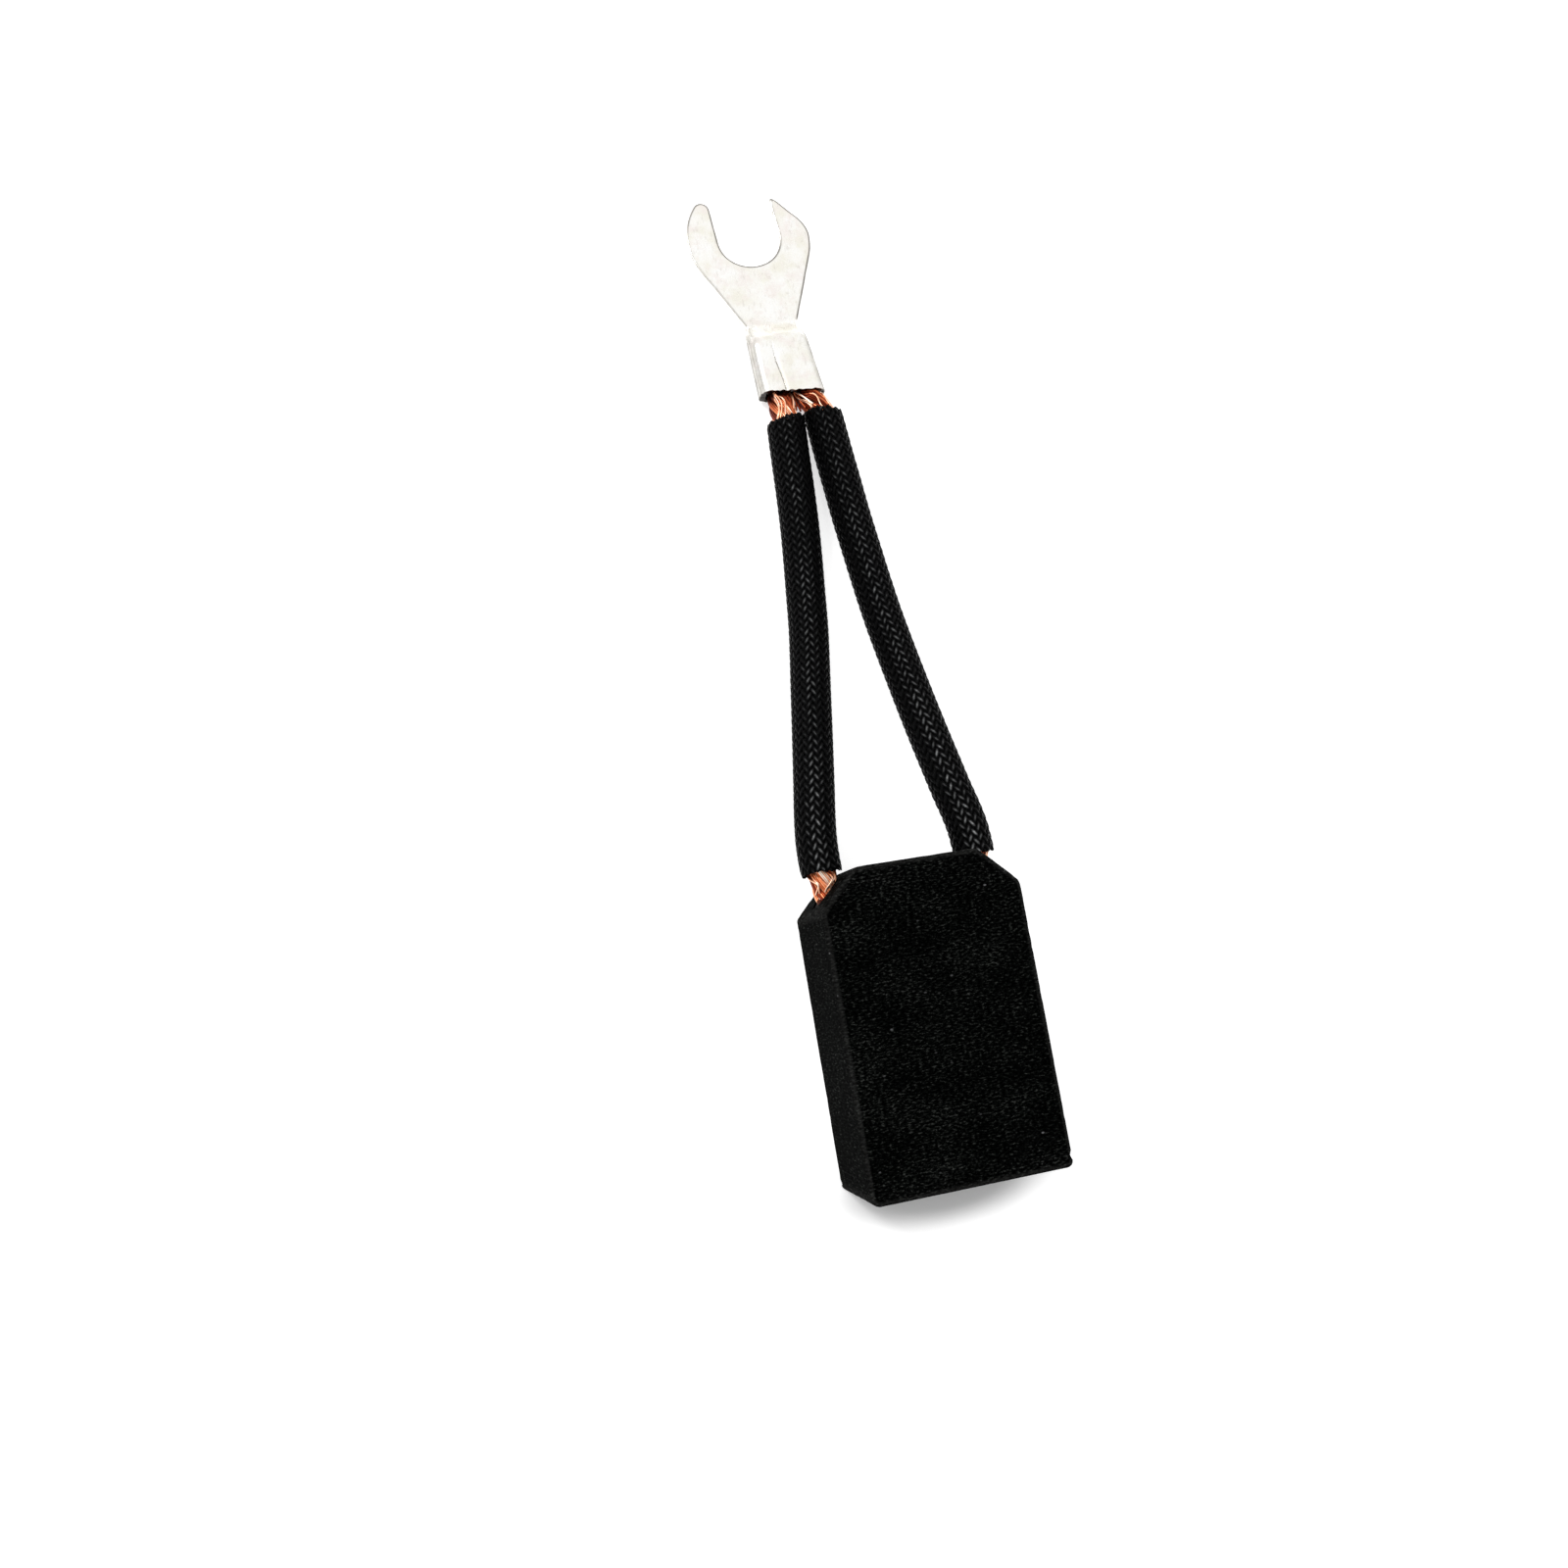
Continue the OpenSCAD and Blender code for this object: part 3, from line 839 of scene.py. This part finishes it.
# Sizes on the lug: p runs to its right, q from the crimp's mouth to the fork.
SHEET = 1.2
SLOT_R, FORK_R, SLOT_Q = 5.6, 11.1, 29.5
SLOT_FLAT = 0.91
NECK_HALF, NECK_Q = 4.6, 13.2
FORK_SHIFT = 0.45
TIP_R, POINT = 1.5, 7.2
CRIMP_H, CRIMP_CORNER = 4.6, 1.6
# the barrel's flanks: places q and the flank's p there
LEFT_FLANK = ([0, 5, 10.4, 11.7, 13.0, 14.4], [-5.72, -5.45, -5.15, -5.0, -4.3, -4.2])
RIGHT_FLANK = ([0, 5, 10.4, 13.0, 14.4], [5.68, 5.4, 5.1, 5.02, 4.95])
CRIMP_RAMP = (8.2, 15.0)
CRIMP_SINK = 0.1
SEAM = -1.6
SEAM_CLOSES = (5.0, 9.0)
SEAM_NOTCH = 0.42
SEAM_STEPS = [0.035, 0.08, 0.14, 0.22, 0.34, 0.5, 0.72, 1.0]
MOUTH_REACH, MOUTH_SLANT = 0.62, 0.12
MID_CRIMP_Z = 2.3
# the fork's edge: height, distance in from the outline, and how dull it is
FORK_EDGE = [
    (0.0, 0.30, 1.0), (0.0, 0.06, 1.0), (0.08, 0.0, 1.0), (0.22, 0.0, 0.45),
    (SHEET - 0.34, 0.0, 0.12), (SHEET - 0.20, 0.01, 0.5), (SHEET - 0.11, 0.04, 1.0),
    (SHEET - 0.04, 0.12, 1.0), (SHEET - 0.01, 0.24, 1.0), (SHEET, 0.36, 0.2),
    (SHEET, 0.50, 0.0), (SHEET, 0.80, 0.0),
]


def arc_points(centre, radius, a0, a1, step=0.45):
    n = max(3, int(abs(math.radians(a1 - a0)) * radius / step) + 1)
    return [(centre[0] + radius * math.cos(math.radians(a)),
             centre[1] + radius * math.sin(math.radians(a))) for a in np.linspace(a0, a1, n)]


def fork_loop():
    """The fork's outline round its slot's middle, anticlockwise from the neck's right end."""
    low = NECK_Q - SLOT_Q
    far = math.hypot(NECK_HALF, low)
    turn = math.degrees(math.atan2(low, NECK_HALF) + math.acos(FORK_R / far))
    reach = SLOT_R + POINT
    x = (reach + math.sqrt(2 * FORK_R ** 2 - reach ** 2)) / 2
    cut = math.degrees(math.atan2(reach - x, x))
    tip = (-(SLOT_R + TIP_R), math.sqrt((FORK_R - TIP_R) ** 2 - (SLOT_R + TIP_R) ** 2))
    tip_turn = math.degrees(math.atan2(tip[1], tip[0]))
    pts = [(NECK_HALF, low)]
    pts += arc_points((0, 0), FORK_R, turn, cut - 12.0)
    # the cut runs into the round outside in a bend, and its point is blunt
    a, b, c = np.array(pts[-1]), np.array([x, reach - x]), np.array([x - 2.2, reach - x + 2.2])
    pts += [tuple(a * (1 - t) ** 2 + 2 * b * t * (1 - t) + c * t * t)
            for t in np.linspace(0.1, 1, 9)]
    pts += [(SLOT_R + 1.30, POINT - 0.85), (SLOT_R + 0.80, POINT - 0.35),
            (SLOT_R + 0.35, POINT - 0.14), (SLOT_R + 0.10, POINT - 0.22),
            (SLOT_R, POINT - 0.50)]
    # the end of the slot is a little flatter than half round
    pts += [(x, y * SLOT_FLAT) for x, y in arc_points((0, 0), SLOT_R, 0, -180)]
    pts += arc_points(tip, TIP_R, 0, tip_turn, 0.25)
    pts += arc_points((0, 0), FORK_R, tip_turn, 180 - turn)[1:]
    pts += [(-NECK_HALF, low)]
    return dense_loop(pts, 0.5)


def dense_loop(pts, spacing):
    out = []
    for i in range(len(pts) - 1):
        a, b = np.array(pts[i]), np.array(pts[i + 1])
        n = max(1, int(np.linalg.norm(b - a) / spacing))
        out += [a + (b - a) * k / n for k in range(n)]
    out.append(np.array(pts[-1]))
    return np.array(out)


def loop_normals(loop):
    """Outward normals of an anticlockwise closed loop, in the plane."""
    d = unit(np.roll(loop, -1, axis=0) - loop)
    e = unit(loop - np.roll(loop, 1, axis=0))
    t = unit(d + e)
    n = np.stack([t[:, 1], -t[:, 0]], axis=1)
    widen = 1 / np.clip(np.sum(n * np.stack([d[:, 1], -d[:, 0]], axis=1), axis=1), 0.55, 1)
    return n * widen[:, None]


def ease(x, start, stop):
    t = min(max((x - start) / (stop - start), 0.0), 1.0)
    return t * t * (3 - 2 * t)


def bell(x, width):
    return math.exp(-(x / width) ** 2)


def crimp_ring(q, skin_side):
    """The folded sheet's section at q, outer (0) or inner (1) skin: (p, z, edge grey or painted
    shade).
    """
    inset = SHEET * skin_side
    left = float(np.interp(q, *LEFT_FLANK)) + inset
    right = float(np.interp(q, *RIGHT_FLANK)) - inset
    low = inset
    high = (CRIMP_H + 0.16 * math.exp(-q / 0.8)
            - (CRIMP_H - SHEET + CRIMP_SINK) * ease(q, *CRIMP_RAMP)) - inset
    c = max(0.15, min(CRIMP_CORNER - inset, (high - low) * 0.48))
    seam = SEAM + 0.22 * math.sin(q * 0.7 + 0.6)
    open_seam = 1 - ease(q, *SEAM_CLOSES)
    turns = [math.pi / 2 * k / 8 for k in range(1, 8)]
    low_turns = [math.pi / 2 * k / 5 for k in range(1, 5)]
    out = []

    def top(p, notch=0.0, stain_and_shade=0.0):
        """A point of the upper skin: seam dip, seam line painted dark as shade, dents of the
        left crease.
        """
        dip = 0.16 * open_seam * bell(abs(p - seam), 0.55)
        line = 0.65 * open_seam * bell(abs(p - seam), 0.11)
        crease = left + 0.45 + 0.05 * q
        dent = max(0.0, value_noise((p * 0.3, q, 0), 1.1, 31.0) + 0.25)
        dent *= bell(p - crease, 0.14) * ease(q, 2.2, 3.6) * (1 - ease(q, 8.6, 10))
        z = high - dip - notch - 0.06 * min(dent, 1)
        out.append((p, z, max(stain_and_shade, line, min(1.5 * dent, 0.9))))

    # painted shade: the open seam's notch is painted near black
    top(seam, SEAM_NOTCH * open_seam, 1.5 * open_seam)
    for d in SEAM_STEPS:
        top(seam + d)
    for p in np.linspace(seam + 1.2, right - c, 24):
        top(float(p))
    # right fold, flank and underside, painted a duller grey as shade
    for k, w in enumerate(turns, 1):
        fold = bell(k - 4.8, 1.9) * (1 - ease(q, 8.5, 12.5) * 0.5)
        out.append((right - c + c * math.sin(w), high - c + c * math.cos(w), fold))
    for z in np.linspace(high - c, low + c, 5):
        out.append((right, float(z), 0.45))
    for w in low_turns:
        out.append((right - c + c * math.cos(w), low + c - c * math.sin(w), 0.5))
    for p in np.linspace(right - c, left + c, 26):
        out.append((float(p), low, 0.6))
    # left flank and fold, painted duller than the right as shade
    for w in low_turns:
        out.append((left + c - c * math.sin(w), low + c - c * math.cos(w), 0.95))
    for k, z in enumerate(np.linspace(low + c, high - c, 5)):
        out.append((left, float(z), (1.0 - 0.12 * k) * (1 - 0.5 * ease(q, 11, 13))))
    for k, w in enumerate(turns, 1):
        left_fold_shade = (1 - k / 8) ** 1.3 * 0.95 * (1 - 0.8 * ease(q, 10.5, 13))
        out.append((left + c - c * math.cos(w), high - c + c * math.sin(w), left_fold_shade))
    for p in np.linspace(left + c, seam - 1.2, 18):
        top(float(p))
    for d in reversed(SEAM_STEPS):
        top(seam - d)
    return out


def make_lug():
    """One tinned sheet: the stamped fork, and the barrel folded round the leads."""
    bm = bmesh.new()
    stain_and_shade = bm.verts.layers.float.new("stain_and_shade")

    def vert(p, q, z, mark):
        x, y, z = lug_place(p, q, z)
        v = bm.verts.new((x * MM, y * MM, z * MM))
        v[stain_and_shade] = mark
        return v

    # fork: a stamped sheet, its upper edge drawn round and its lower edge sharp
    loop = fork_loop()
    normals = loop_normals(loop)
    neck = loop[:, 1] < NECK_Q - SLOT_Q + 0.01
    rows = []
    for z, inset, dull in FORK_EDGE:
        row = []
        for c, n, held in zip(loop, normals, neck):
            if held:
                n = np.array([math.copysign(1.0, c[0]), 0.0])
            wob = 0.0 if held else value_noise((c[0], c[1], 0), 0.35, 5.5) * 0.05
            at = c - n * (inset + wob)
            sag = value_noise((c[0], c[1], 0), 0.16, 9.5) * 0.05 if z > 0.9 else 0.0
            # edges facing left and back towards the barrel are made up to half less dull
            mark = dull * (1.0 - 0.5 * max(0.0, -0.8 * n[0] - 0.6 * n[1]))
            row.append(vert(at[0] + FORK_SHIFT, at[1] + SLOT_Q, z + min(sag, 0.0),
                            0.0 if held and z > 1.0 else mark))
        rows.append(row)
    skin(bm, rows)
    bm.faces.new(list(reversed(rows[0])))
    bm.faces.new(rows[-1])

    # crimp: the sheet folded round the leads, its wings meeting at the seam
    def section(q, skin_side, lip=0.0, added_shade=0.0):
        row = []
        for p, z, mark in crimp_ring(q, skin_side):
            if skin_side == 0 and z > SHEET:
                z += value_noise((p, q, z), 0.45, 14.2) * 0.06 * (1 - ease(q, 12, 14))
                p += value_noise((p, q, z), 0.30, 4.2) * 0.08 * (1 - ease(q, 10, 13))
            centre = np.array([p, z - MID_CRIMP_Z])
            pull = lip * centre / np.linalg.norm(centre)
            # the sheared mouth is ragged and not quite square
            shift = -MOUTH_REACH * bell(q, 4.0) - MOUTH_SLANT * p * math.exp(-q / 3.5)
            shift += value_noise((p, 3.0, z), 1.4, 2.2) * 0.22 * math.exp(-q / 0.3)
            row.append(vert(p - pull[0], q + shift, max(z - pull[1], 0.0),
                            min(mark + added_shade, 2.0)))
        return row

    outer_qs = [0.0, 0.05, 0.15, 0.35] + list(np.linspace(0.6, 14.7, 64))
    outer = [section(q, 0) for q in outer_qs]
    # painted shade: the inner skin is painted black, the mouth's sheared face dark grey to
    # black
    inner = [section(q, 1, added_shade=2.0) for q in np.linspace(0.12, 8.8, 14)]
    lip = [section(-0.03, 0, lip=0.12, added_shade=0.5), section(-0.03, 0, lip=0.32, added_shade=1.6),
           section(0.0, 1, lip=-0.12, added_shade=2.0)]
    skin(bm, inner[::-1] + lip[::-1] + outer)
    bm.faces.new(inner[-1])
    bm.faces.new(outer[-1])
    bmesh.ops.recalc_face_normals(bm, faces=bm.faces)
    ob = place_mesh("lug", bm, smooth=True)
    ob.data.materials.append(TIN)
    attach(ob, "root")
    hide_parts("fork_lug")
    return ob


# ---------------------------------------------------------------- all the pieces

def finish_node(node, material):
    """Gives a CAD node that stays visible its material."""
    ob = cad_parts[node]
    if not ob.material_slots:
        ob.data.materials.append(material)
    for slot in ob.material_slots:
        slot.material = material


lug = make_lug()
sleeve_left = make_sleeve("braid_left", "sleeve_left", -1, LEFT_ROUTE, 11)
sleeve_right = make_sleeve("braid_right", "sleeve_right", 1, RIGHT_ROUTE, 12)
for name, node, side, route, sleeve, seed in (
        ("rope_left", "lead_left", -1, LEFT_ROUTE, sleeve_left, 21),
        ("rope_right", "lead_right", 1, RIGHT_ROUTE, sleeve_right, 22)):
    rope, line = make_lead(name, side, route, seed)
    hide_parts(node)

make_block()
finish_node("tamping_left", TAMPING)
finish_node("tamping_right", TAMPING)


# ---------------------------------------------------------------- floor and light

# metres
FLOOR_HALF = 1.5
FLOOR_BELOW = 0.00005
SCENE_MIDDLE_Y = 0.05
# the ellipse on the floor in which the block's shadow is kept, mapped to a circle of radius 1
SHADOW_PLACE, SHADOW_SCALE = (-0.04, 3.25, 0.0), (42.0, 122.0, 0.0)
# how the studio's level changes along Y and X
LEAN_Y, LEAN_X = 1.15, -0.35


def seen_directly(nodes, links):
    """1 for camera, mirror and see-through rays, 0 for the light that falls on things."""
    path = nodes.new("ShaderNodeLightPath")
    a = math_node(nodes, links, "MAXIMUM", path.outputs["Is Camera Ray"],
                  path.outputs["Is Glossy Ray"])
    return math_node(nodes, links, "MAXIMUM", a, path.outputs["Is Transmission Ray"])


def make_floor():
    bm = bmesh.new()
    bmesh.ops.create_grid(bm, x_segments=8, y_segments=8, size=FLOOR_HALF)
    ob = place_mesh("floor", bm, smooth=False)
    ob.location = (0, SCENE_MIDDLE_Y, -FLOOR_BELOW)
    m, nodes, links, sh = new_material("pale_floor")
    sh.inputs["Base Color"].default_value = (0.86, 0.86, 0.86, 1)
    sh.inputs["Roughness"].default_value = 1.0
    sh.inputs["Specular IOR Level"].default_value = 0.0
    sh.inputs["Emission Color"].default_value = (1, 1, 1, 1)
    # shown white, but darker under the block's lower edge, where its shadow is kept
    place = nodes.new("ShaderNodeMapping")
    place.inputs["Location"].default_value = SHADOW_PLACE
    place.inputs["Scale"].default_value = SHADOW_SCALE
    links.new(nodes.new("ShaderNodeNewGeometry").outputs["Position"], place.inputs["Vector"])
    away = put(nodes, "ShaderNodeVectorMath", operation="LENGTH")
    links.new(place.outputs["Vector"], away.inputs[0])
    wash = ramp(nodes, links, away.outputs["Value"],
                [(0.45, grey(0.03)), (1.0, grey(0.62))], "EASE")
    links.new(math_node(nodes, links, "MULTIPLY", seen_directly(nodes, links), wash),
              sh.inputs["Emission Strength"])
    ob.data.materials.append(m)


def make_world():
    world = bpy.data.worlds.new("studio")
    world.use_nodes = True
    nodes, links = world.node_tree.nodes, world.node_tree.links
    back = nodes["Background"]
    back.inputs["Color"].default_value = (1, 1, 1, 1)
    # white where it is seen; a soft studio falls off towards the horizon for everything else
    place = nodes.new("ShaderNodeTexCoord").outputs["Generated"]
    rise = nodes.new("ShaderNodeSeparateXYZ")
    links.new(place, rise.inputs["Vector"])
    dome = ramp(nodes, links, rise.outputs["Z"],
                [(0.0, grey(0.06)), (0.45, grey(0.15)), (0.90, grey(1.28))])
    # the far left of the studio is brighter than the near right
    lean = math_node(nodes, links, "MULTIPLY_ADD", rise.outputs["Y"], LEAN_Y, math_node(
        nodes, links, "MULTIPLY_ADD", rise.outputs["X"], LEAN_X, 1.0))
    level = math_node(nodes, links, "MULTIPLY", dome,
                      math_node(nodes, links, "MAXIMUM", lean, 0.0))
    rest = math_node(nodes, links, "SUBTRACT", 1.0, level)
    links.new(math_node(nodes, links, "MULTIPLY_ADD", seen_directly(nodes, links), rest, level),
              back.inputs["Strength"])
    scene.world = world


def area_light(name, place, aim, size, power):
    data = bpy.data.lights.new(name, "AREA")
    data.shape = "DISK"
    data.size = size
    data.energy = power
    ob = bpy.data.objects.new(name, data)
    ob.location = place
    ob.rotation_euler = (Vector(aim) - Vector(place)).to_track_quat("-Z", "Y").to_euler()
    scene.collection.objects.link(ob)


make_floor()
make_world()
area_light("key", (-0.42, 0.46, 0.62), (0, SCENE_MIDDLE_Y, 0), 0.18, 2.4)
